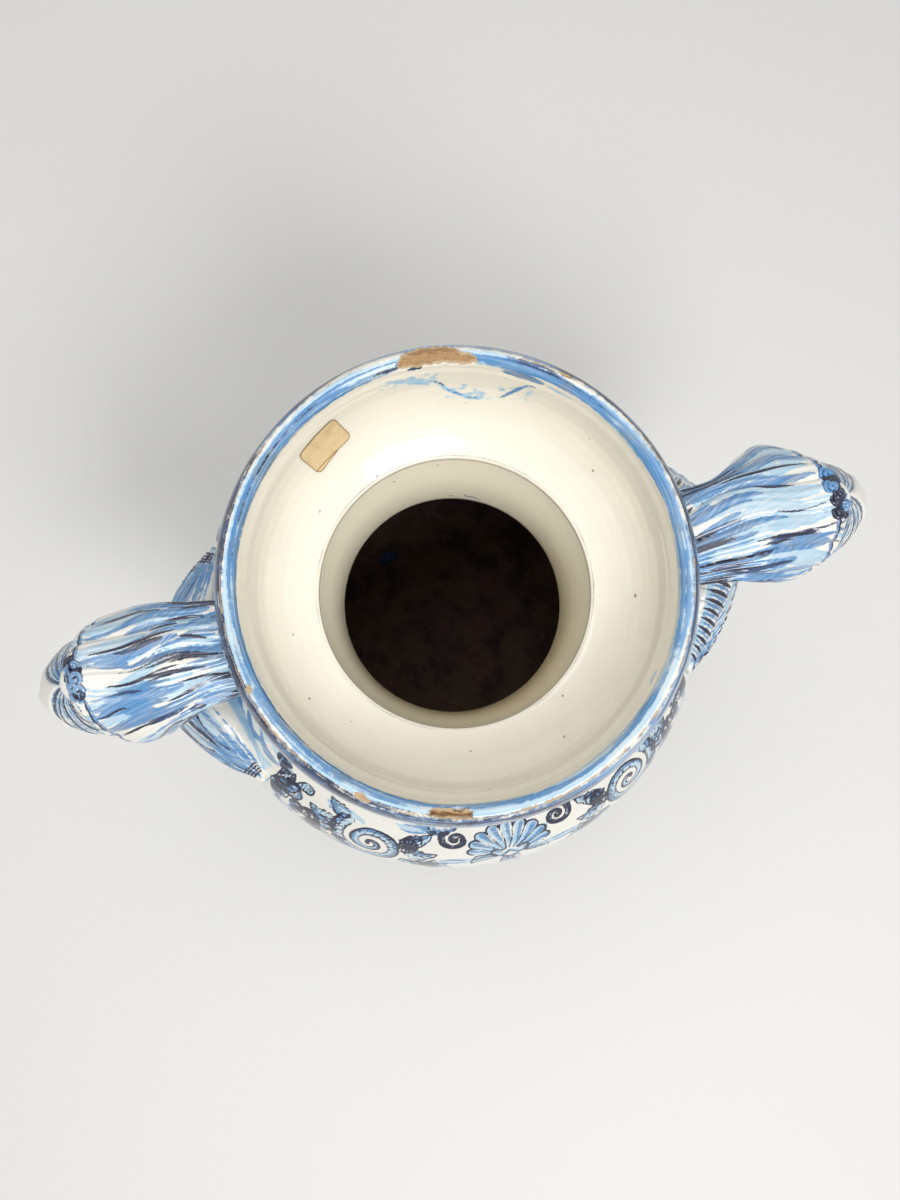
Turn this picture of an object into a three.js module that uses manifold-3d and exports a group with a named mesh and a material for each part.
// A two-handled vase in tin-glazed earthenware, in millimetres, standing on z = 0 with its axis on Z.
// The pot is thrown in five sections that seat in each other. Each handle is a mane of hair that leaves
// the collar, a mask that looks outwards, a beard that comes back to the belly, and two wings.
import * as THREE from "three";
import Module from "manifold-3d";
import { mergeVertices } from "three/addons/utils/BufferGeometryUtils.js";

// The height of the whole vase, and of its thrown sections. The lower body takes what the others leave.
const height = 500;
const footRise = 40;
const upperBodyRise = 96;
const collarRise = 72;
const mouthRise = 66;
const lowerBodyRise = height - footRise - upperBodyRise - collarRise - mouthRise;

// Outer radii, at the levels where the sections meet.
const footRadius = 108;
const waistRadius = 84;
const bellyRadius = 203.5;
const neckRadius = 90;
const collarTopRadius = 101;
const lipRadius = 147.5;

// Walls, seats and clearances.
const bodyWall = 9;
const floorThickness = 10;
const footWall = 13;
const collarWall = 11;
const mouthWall = 8.5;
const ledgeStep = 1.5;
const tongueWidth = 3;
const tongueHeight = 4;
const spigotWall = 4;
const spigotDepth = 7;
const skirtWall = 4.5;
const skirtDepth = 8;
const foundationRing = 6;
const foundationDepth = 5;
const clearance = 0.3;

// The rolled lip: how far its crest and its inner edge lie inside its widest line, and its height.
const crestInset = 7.5;
const lipWidth = 15.5;
const lipHeight = 29;

// The foot's base band.
const bandHeight = 12;
const bandInset = 6;
const edgeRound = 3;

// How full the curves of the body are: the reach of their control points.
const lowerSwell = 62;
const lowerLift = 30;
const lowerFullness = 124;
const shoulderFullness = 54;
const shoulderFlatness = 74;
const shoulderDrop = 3;

// The handle, seen along its own arm. Reaches are measured from the pot's axis.
const maneWidth = 60;
const maneThickness = 30;
const hoodWidth = 87;
const headDepth = 84;
const headWidth = 76;
const headHeight = 100;
const headTilt = 10;
const noseLength = 12.5;
const beardWidth = 50;
const beardThickness = 36;
const wingStart = 4;
const wingSpan = 27;
const wingLength = 68;
const wingThickness = 36;

// The handles were modelled by hand, so the right one stands out a little more than the left one.
// The heads keep their places under the rim: the drops are how far their middles lie below it.
const rightHeadDrop = 101;
const leftHeadDrop = 109;
const heads = {
  right: new THREE.Vector3(249.5, 0, height - rightHeadDrop),
  left: new THREE.Vector3(242, 0, height - leftHeadDrop),
};

// The mane's stations: reach and rise from the head's middle, dip in degrees, and what the half width and
// the half thickness add. The strap's reaches are measured from the throat instead.
const strapStations = [
  [2, 8, -8, 0, 0],
  [26, 13, -8, 0, 0],
  [58, 20, -7, 0, 0],
];
const hoodStations = [
  [-70, 27, -3, -8.5, -33],
  [-46, 22, 5, -3, -20],
  [-26, 10, 14, 0, -6],
  [-12, 5, 15, -1, 3],
  [-3, 5, 14, -4, 1],
  [3, 5, 13, -10, -6],
];

// The paper label inside the mouth.
const labelLength = 31;
const labelHeight = 21;
const labelThickness = 0.4;
const labelAngle = 119.5;
const labelFall = 0.38;

// How finely round forms are divided.
const roundSteps = 48;
const curveSteps = 9;
const bowlSteps = 8;

const bellyHeight = footRise + lowerBodyRise;
const shoulderHeight = bellyHeight + upperBodyRise;
const ledgeHeight = shoulderHeight + collarRise;
const rimHeight = ledgeHeight + mouthRise;
const floorHeight = footRise + floorThickness;
const throatRadius = neckRadius - collarWall;
const ledgeRadius = collarTopRadius - collarWall + ledgeStep;
const mouthRadius = lipRadius - lipWidth;

const wasm = await Module();
wasm.setup();

const point = (r, z) => new THREE.Vector2(r, z);
const bezier = (a, b, c, d, steps = curveSteps) => new THREE.CubicBezierCurve(a, b, c, d).getPoints(steps);
const degrees = THREE.MathUtils.degToRad;

// Keeps only positions, joins shared corners, drops the triangles that shrank to a line, and turns the
// faces outwards.
function closed(geometry) {
  const bare = new THREE.BufferGeometry().setAttribute("position", geometry.getAttribute("position"));
  if (geometry.index) bare.setIndex(geometry.index);
  const merged = mergeVertices(bare, 1e-4);
  const corners = merged.index.array;
  const kept = [];
  for (let i = 0; i < corners.length; i += 3) {
    const [a, b, c] = [corners[i], corners[i + 1], corners[i + 2]];
    if (a !== b && b !== c && c !== a) kept.push(a, b, c);
  }
  if (volumeOf(merged, kept) < 0)
    for (let i = 0; i < kept.length; i += 3) [kept[i + 1], kept[i + 2]] = [kept[i + 2], kept[i + 1]];
  merged.setIndex(kept);
  return merged;
}

function volumeOf(geometry, corners) {
  const at = (i) => new THREE.Vector3().fromBufferAttribute(geometry.attributes.position, i);
  let sum = 0;
  for (let i = 0; i < corners.length; i += 3)
    sum += at(corners[i]).dot(at(corners[i + 1]).cross(at(corners[i + 2])));
  return sum / 6;
}

function toSolid(geometry) {
  return new wasm.Manifold(
    new wasm.Mesh({
      numProp: 3,
      vertProperties: geometry.attributes.position.array,
      triVerts: new Uint32Array(geometry.index.array),
    }),
  );
}

function toGeometry(solid) {
  const mesh = solid.getMesh();
  const geometry = new THREE.BufferGeometry();
  geometry.setAttribute("position", new THREE.BufferAttribute(new Float32Array(mesh.vertProperties), 3));
  geometry.setIndex(new THREE.BufferAttribute(new Uint32Array(mesh.triVerts), 1));
  return geometry;
}

// A closed profile of radii and heights, turned about Z.
function turned(profile) {
  const line = [...profile, profile[0].clone()];
  const geometry = new THREE.LatheGeometry(line, roundSteps);
  geometry.rotateX(Math.PI / 2);
  return closed(geometry);
}

// The outer face of each section, from its foot to its head.
function footOutline() {
  return [
    point(footRadius - edgeRound, 0),
    point(footRadius, edgeRound),
    point(footRadius, bandHeight),
    point(footRadius - bandInset, bandHeight + edgeRound),
    ...bezier(
      point(footRadius - 2 * bandInset, bandHeight + edgeRound),
      point(waistRadius, bandHeight + 2 * edgeRound),
      point(waistRadius, footRise - edgeRound),
      point(waistRadius, footRise),
      5,
    ),
  ];
}

function lowerOutline(inset, start) {
  return bezier(
    point(waistRadius - inset, start),
    point(waistRadius - inset + lowerSwell, start + lowerLift),
    point(bellyRadius - inset, bellyHeight - lowerFullness),
    point(bellyRadius - inset, bellyHeight),
  );
}

function upperCurve(inset) {
  return new THREE.CubicBezierCurve(
    point(bellyRadius - inset, bellyHeight),
    point(bellyRadius - inset, bellyHeight + shoulderFullness - inset / 2),
    point(neckRadius + shoulderFlatness, shoulderHeight - shoulderDrop - inset),
    point(neckRadius, shoulderHeight - inset),
  );
}

function collarOutline() {
  return [
    point(neckRadius, shoulderHeight),
    point(neckRadius + 1, shoulderHeight + 22),
    point(collarTopRadius, ledgeHeight - skirtDepth),
  ];
}

function mouthOutline() {
  return [
    ...bezier(
      point(collarTopRadius, ledgeHeight - skirtDepth),
      point(collarTopRadius + 14, ledgeHeight - 2),
      point(mouthRadius + mouthWall - 3, ledgeHeight + 8),
      point(mouthRadius + mouthWall, rimHeight - lipHeight),
      7,
    ),
    ...lipRound(),
  ];
}

// The rolled lip, from its underside over its widest line and its crest to its inner edge.
function lipRound() {
  const roll = new THREE.SplineCurve([
    point(lipRadius - 4, rimHeight - lipHeight + 2),
    point(lipRadius, rimHeight - lipHeight + 10),
    point(lipRadius - 2, rimHeight - 7),
    point(lipRadius - crestInset, rimHeight),
    point(mouthRadius + 2, rimHeight - 2),
    point(mouthRadius, rimHeight - 7),
  ]);
  return roll.getPoints(8);
}

// The inner face of the mouth, from the lip down to the ledge.
function mouthBowl(steps) {
  return bezier(
    point(mouthRadius - 0.5, rimHeight - 11),
    point(mouthRadius - 3, ledgeHeight + 30),
    point(ledgeRadius + 24, ledgeHeight + 10),
    point(ledgeRadius, ledgeHeight + 1),
    steps,
  );
}

function foot() {
  const seatRadius = waistRadius - footWall - foundationRing;
  return turned([
    ...footOutline(),
    point(seatRadius, footRise),
    ...bezier(
      point(seatRadius, footRise - edgeRound),
      point(seatRadius, bandHeight),
      point(footRadius - footWall - edgeRound, bandHeight),
      point(footRadius - footWall, 0),
      5,
    ),
  ]);
}

// The thrown bowl, with a turned ring below that stands in the foot and a tongue round its rim.
function lowerBody() {
  const ring = waistRadius - footWall - foundationRing - clearance;
  const middle = bellyRadius - bodyWall / 2;
  const half = tongueWidth / 2;
  return turned([
    point(0, footRise),
    point(ring - foundationRing, footRise),
    point(ring - foundationRing, footRise - foundationDepth),
    point(ring, footRise - foundationDepth),
    point(ring, footRise),
    ...lowerOutline(0, footRise),
    point(middle + half, bellyHeight),
    point(middle + half, bellyHeight + tongueHeight),
    point(middle - half, bellyHeight + tongueHeight),
    point(middle - half, bellyHeight),
    ...lowerOutline(bodyWall, floorHeight).reverse(),
    point(0, floorHeight),
  ]);
}

// The shoulder, with a groove for the bowl's tongue and an opening for the collar's spigot.
function upperBody() {
  const middle = bellyRadius - bodyWall / 2;
  const half = tongueWidth / 2 + clearance;
  const opening = throatRadius + spigotWall + clearance;
  const inner = upperCurve(bodyWall).getPoints(curveSteps).filter((p) => p.x > opening + 1);
  return turned([
    point(middle + half, bellyHeight),
    ...upperCurve(0).getPoints(curveSteps),
    point(opening, shoulderHeight),
    point(opening, shoulderHeight - bodyWall),
    ...inner.reverse(),
    point(middle - half, bellyHeight),
    point(middle - half, bellyHeight + tongueHeight + clearance),
    point(middle + half, bellyHeight + tongueHeight + clearance),
  ]);
}

function throatCollar() {
  const skirtSeat = collarTopRadius - skirtWall;
  const top = collarTopRadius - collarWall;
  return turned([
    point(throatRadius + spigotWall, shoulderHeight - spigotDepth),
    point(throatRadius + spigotWall, shoulderHeight),
    ...collarOutline().slice(0, 2),
    point(collarTopRadius, ledgeHeight - skirtDepth - clearance),
    point(skirtSeat, ledgeHeight - skirtDepth - clearance),
    point(skirtSeat, ledgeHeight),
    point(top, ledgeHeight),
    ...bezier(
      point(top, ledgeHeight - 2),
      point(top - 3, ledgeHeight - collarRise / 3),
      point(throatRadius + 1, ledgeHeight - collarRise / 2),
      point(throatRadius, shoulderHeight - spigotDepth),
      5,
    ),
  ]);
}

function flaredMouth() {
  const seat = collarTopRadius - skirtWall + clearance;
  return turned([
    point(seat, ledgeHeight - skirtDepth),
    ...mouthOutline(),
    ...mouthBowl(bowlSteps),
    point(ledgeRadius, ledgeHeight),
    point(seat, ledgeHeight),
  ]);
}

// The whole pot as one filled form, a clearance larger, to cut what is luted onto it.
function potCutter() {
  const line = [
    ...footOutline(),
    ...lowerOutline(0, footRise).slice(1),
    ...upperCurve(0).getPoints(curveSteps).slice(1),
    ...collarOutline().slice(1),
    ...mouthOutline().slice(1),
  ];
  const grown = line.map((p, i) => {
    const along = line[Math.min(i + 1, line.length - 1)].clone().sub(line[Math.max(i - 1, 0)]).normalize();
    return point(p.x + along.y * clearance, p.y - along.x * clearance);
  });
  return toSolid(turned([point(0, grown[0].y), ...grown, point(0, grown.at(-1).y)]));
}

// A closed body through sections. Each section has a centre, its two unit axes and two half sizes, and
// shape(angle, share) gives how far its outline stands out.
function lofted(sections, sides, shape, grow = 0) {
  const positions = [];
  const corners = [];
  sections.forEach((section, row) => {
    for (let i = 0; i < sides; i++) {
      const angle = (i / sides) * 2 * Math.PI;
      const out = shape(angle, row / (sections.length - 1));
      const across = (section.half[0] * out + grow) * Math.cos(angle);
      const over = (section.half[1] * out + grow) * Math.sin(angle);
      const corner = section.centre.clone();
      corner.addScaledVector(section.axes[0], across).addScaledVector(section.axes[1], over);
      positions.push(corner.x, corner.y, corner.z);
    }
  });
  for (const end of [sections[0], sections.at(-1)]) positions.push(end.centre.x, end.centre.y, end.centre.z);
  const firstCap = sections.length * sides;
  const lastRow = firstCap - sides;
  for (let i = 0; i < sides; i++) {
    const next = (i + 1) % sides;
    for (let row = 0; row < sections.length - 1; row++) {
      const [a, b] = [row * sides + i, row * sides + next];
      corners.push(a, b, a + sides, b, b + sides, a + sides);
    }
    corners.push(firstCap, next, i, firstCap + 1, lastRow + i, lastRow + next);
  }
  const geometry = new THREE.BufferGeometry();
  geometry.setAttribute("position", new THREE.BufferAttribute(new Float32Array(positions), 3));
  geometry.setIndex(corners);
  return closed(geometry);
}

// Sections that stand across a path in the XZ plane, smoothed between the given stations.
function sectionsAlong(stations, count) {
  const places = new THREE.CatmullRomCurve3(
    stations.map((s) => new THREE.Vector3(s.reach, s.dip, s.height)),
    false,
    "catmullrom",
    0.5,
  );
  const halves = new THREE.CatmullRomCurve3(
    stations.map((s) => new THREE.Vector3(s.halfWidth, s.halfThickness, 0)),
    false,
    "catmullrom",
    0.5,
  );
  return Array.from({ length: count }, (_, i) => {
    const place = places.getPoint(i / (count - 1));
    const half = halves.getPoint(i / (count - 1));
    const dip = degrees(place.y);
    return {
      centre: new THREE.Vector3(place.x, 0, place.z),
      axes: [new THREE.Vector3(0, 1, 0), new THREE.Vector3(Math.sin(dip), 0, Math.cos(dip))],
      half: [half.x, half.y],
    };
  });
}

// The mane: a strap of hair from the collar that opens into a hood round the head.
function mane(head) {
  const station = (from, width, thickness, [reach, rise, dip, wider, thicker]) => ({
    reach: from + reach,
    height: head.z + rise,
    dip,
    halfWidth: width / 2 + wider,
    halfThickness: thickness / 2 + thicker,
  });
  const stations = [
    ...strapStations.map((line) => station(throatRadius, maneWidth, maneThickness, line)),
    ...hoodStations.map((line) => station(head.x, hoodWidth, headHeight, line)),
  ];
  const strands = (angle) => 1 + 0.02 * (1 + Math.sin(angle)) * Math.cos(6 * angle);
  return lofted(sectionsAlong(stations, 14), 24, strands);
}

// Raised and sunk places of the mask: yaw and pitch of the middle, spread in both, and height.
const maskRelief = [
  [0, 38, 40, 14, 3],
  [18, 17, 20, 8, 5],
  [19, 5, 12, 9, -5],
  [19, 4, 8, 6, 4.5],
  [0, 4, 10, 14, noseLength * 0.6],
  [0, -9, 14, 10, noseLength],
  [15, -13, 9, 7, noseLength * 0.4],
  [34, -8, 15, 13, 5],
  [12, -25, 14, 6, 5],
  [0, -32, 14, 5, -4],
  [0, -39, 11, 6, 4],
  [0, -52, 20, 10, 8],
];

function maskHeight(yaw, pitch) {
  return maskRelief.reduce((sum, [midYaw, midPitch, wide, tall, height]) => {
    const rise = ((pitch - midPitch) / tall) ** 2;
    const bump = (side) => Math.exp(-(((yaw - side * midYaw) / wide) ** 2) - rise);
    return sum + height * (midYaw ? bump(1) + bump(-1) : bump(1));
  }, 0);
}

function mask(head, grow = 0) {
  const geometry = new THREE.SphereGeometry(1, 32, 26);
  geometry.rotateX(Math.PI / 2);
  const place = geometry.attributes.position;
  const tilt = new THREE.Matrix4().makeRotationY(degrees(headTilt));
  for (let i = 0; i < place.count; i++) {
    const way = new THREE.Vector3().fromBufferAttribute(place, i);
    const yaw = THREE.MathUtils.radToDeg(Math.atan2(way.y, way.x));
    const pitch = THREE.MathUtils.radToDeg(Math.asin(THREE.MathUtils.clamp(way.z, -1, 1)));
    const base = 1 / Math.hypot((2 * way.x) / headDepth, (2 * way.y) / headWidth, (2 * way.z) / headHeight);
    const radius = base + maskHeight(yaw, pitch) + grow;
    way.multiplyScalar(radius).applyMatrix4(tilt).add(head);
    place.setXYZ(i, way.x, way.y, way.z);
  }
  return closed(geometry);
}

// The beard: from under the chin, back and down to the belly.
function beard(head, grow = 0) {
  const landing = upperCurve(0).getPoint(0.3);
  const chin = head.z - headHeight / 2;
  const half = beardThickness / 2;
  const wide = beardWidth / 2;
  const stations = [
    { reach: head.x + 10, height: chin + 26, dip: 84, halfWidth: wide - 4, halfThickness: half },
    { reach: head.x + 7, height: chin + 4, dip: 98, halfWidth: wide, halfThickness: half },
    { reach: head.x - 4, height: chin - 15, dip: 122, halfWidth: wide, halfThickness: half - 2 },
    { reach: head.x - 20, height: chin - 27, dip: 142, halfWidth: wide - 3, halfThickness: half - 3 },
    { reach: landing.x + 3, height: landing.y + 1, dip: 150, halfWidth: wide - 7, halfThickness: half - 5 },
    { reach: landing.x - 14, height: landing.y - 6, dip: 154, halfWidth: wide - 10, halfThickness: half - 7 },
  ];
  const locks = (angle) => 1 + 0.05 * Math.cos(4 * angle);
  return lofted(sectionsAlong(stations, 10), 16, locks, grow);
}

// A wing: a thick leaf that lies round the shoulder, from the beard to its tip. side is 1 or -1.
function wing(side) {
  const curve = upperCurve(0);
  const rows = 11;
  const swells = new THREE.SplineCurve([
    point(0.8, 1.45),
    point(0.98, 1.25),
    point(1, 1),
    point(0.87, 0.74),
    point(0.62, 0.48),
    point(0.22, 0.22),
  ]);
  const sections = Array.from({ length: rows }, (_, row) => {
    const share = row / (rows - 1);
    const turn = side * degrees(wingStart + (wingSpan - wingStart) * share);
    const along = 0.3 + 0.04 * share;
    const place = curve.getPoint(along);
    const slope = curve.getTangent(along);
    const spin = (v) => new THREE.Vector3(v.x * Math.cos(turn), v.x * Math.sin(turn), v.y);
    const normal = spin(new THREE.Vector2(slope.y, -slope.x));
    const swell = swells.getPoint(share);
    const half = [(wingLength / 2) * swell.x, (wingThickness / 2) * swell.y];
    return {
      centre: spin(place).addScaledVector(normal, half[1] * 0.55),
      axes: [spin(slope), normal],
      half,
    };
  });
  const feathers = (angle, share) => 1 + 0.05 * Math.cos(3 * angle + 9 * share);
  return lofted(sections, 16, feathers);
}

// The label: a small rectangle of paper that follows the flats of the mouth's inside.
function paperLabel() {
  const bowl = new THREE.Path(mouthBowl(bowlSteps));
  const long = bowl.getLength();
  const flat = (2 * Math.PI) / roundSteps;
  const onFlat = (turn) => Math.cos(flat / 2) / Math.cos(turn - (Math.floor(turn / flat) + 0.5) * flat);
  const [columns, rows] = [8, 6];
  const skin = (depth) => {
    const sheet = [];
    for (let i = 0; i <= columns; i++)
      for (let j = 0; j <= rows; j++) {
        const share = labelFall + ((j / rows - 0.5) * labelHeight) / long;
        const place = bowl.getPointAt(share);
        const slope = bowl.getTangentAt(share);
        const turn = degrees(labelAngle) + ((i / columns - 0.5) * labelLength) / place.x;
        const out = point(place.x * onFlat(turn), place.y);
        out.addScaledVector(point(slope.y, -slope.x), depth);
        sheet.push(new THREE.Vector3(out.x * Math.cos(turn), out.x * Math.sin(turn), out.y));
      }
    return sheet;
  };
  const corners = [...skin(clearance), ...skin(clearance + labelThickness)];
  const at = (i, j, layer) => layer * (columns + 1) * (rows + 1) + i * (rows + 1) + j;
  const faces = [];
  const quad = (a, b, c, d) => faces.push(a, b, c, a, c, d);
  for (let i = 0; i < columns; i++)
    for (let j = 0; j < rows; j++) {
      quad(at(i, j, 0), at(i, j + 1, 0), at(i + 1, j + 1, 0), at(i + 1, j, 0));
      quad(at(i, j, 1), at(i + 1, j, 1), at(i + 1, j + 1, 1), at(i, j + 1, 1));
    }
  for (let i = 0; i < columns; i++) {
    quad(at(i, 0, 0), at(i + 1, 0, 0), at(i + 1, 0, 1), at(i, 0, 1));
    quad(at(i + 1, rows, 0), at(i, rows, 0), at(i, rows, 1), at(i + 1, rows, 1));
  }
  for (let j = 0; j < rows; j++) {
    quad(at(0, j + 1, 0), at(0, j, 0), at(0, j, 1), at(0, j + 1, 1));
    quad(at(columns, j, 0), at(columns, j + 1, 0), at(columns, j + 1, 1), at(columns, j, 1));
  }
  const geometry = new THREE.BufferGeometry().setFromPoints(corners);
  geometry.setIndex(faces);
  return closed(geometry);
}

const glaze = (color) => new THREE.MeshStandardMaterial({ color, roughness: 0.16, metalness: 0 });
const finishes = {
  painted: () => glaze(0xc9d8e6),
  white: () => glaze(0xe9e4d6),
  blue: () => glaze(0x8fb4d8),
  paper: () => new THREE.MeshStandardMaterial({ color: 0xd9bf92, roughness: 0.85, metalness: 0 }),
};

function named(name, geometry, finish) {
  const mesh = new THREE.Mesh(geometry, finishes[finish]());
  mesh.name = name;
  return mesh;
}

function pot() {
  const group = new THREE.Group();
  group.add(named("foot", foot(), "painted"));
  group.add(named("lower_body", lowerBody(), "painted"));
  group.add(named("upper_body", upperBody(), "painted"));
  group.add(named("throat_collar", throatCollar(), "white"));
  group.add(named("flared_mouth", flaredMouth(), "white"));
  group.add(named("paper_label", paperLabel(), "paper"));
  return group;
}

// One handle, pointing along +X. Each piece is cut by the pieces that it is luted to.
function handle(sideName) {
  const head = heads[sideName];
  const potForm = potCutter();
  const maskForm = toSolid(mask(head, clearance));
  const beardForm = toSolid(beard(head, clearance));
  const cut = (geometry, ...others) =>
    toGeometry(others.reduce((solid, other) => solid.subtract(other), toSolid(geometry)));
  const group = new THREE.Group();
  group.add(named(`${sideName}_mane`, cut(mane(head), potForm, maskForm), "blue"));
  group.add(named(`${sideName}_mask`, mask(head), "white"));
  group.add(named(`${sideName}_beard`, cut(beard(head), potForm, maskForm), "blue"));
  for (const [where, side] of [["front", -1], ["rear", 1]]) {
    const towards = sideName === "right" ? side : -side;
    group.add(named(`${sideName}_${where}_wing`, cut(wing(towards), potForm, maskForm, beardForm), "blue"));
  }
  return group;
}

const vase = new THREE.Group();
vase.add(pot());
vase.add(handle("right"));
const leftHandle = handle("left");
leftHandle.rotation.z = Math.PI;
vase.add(leftHandle);

export default vase;
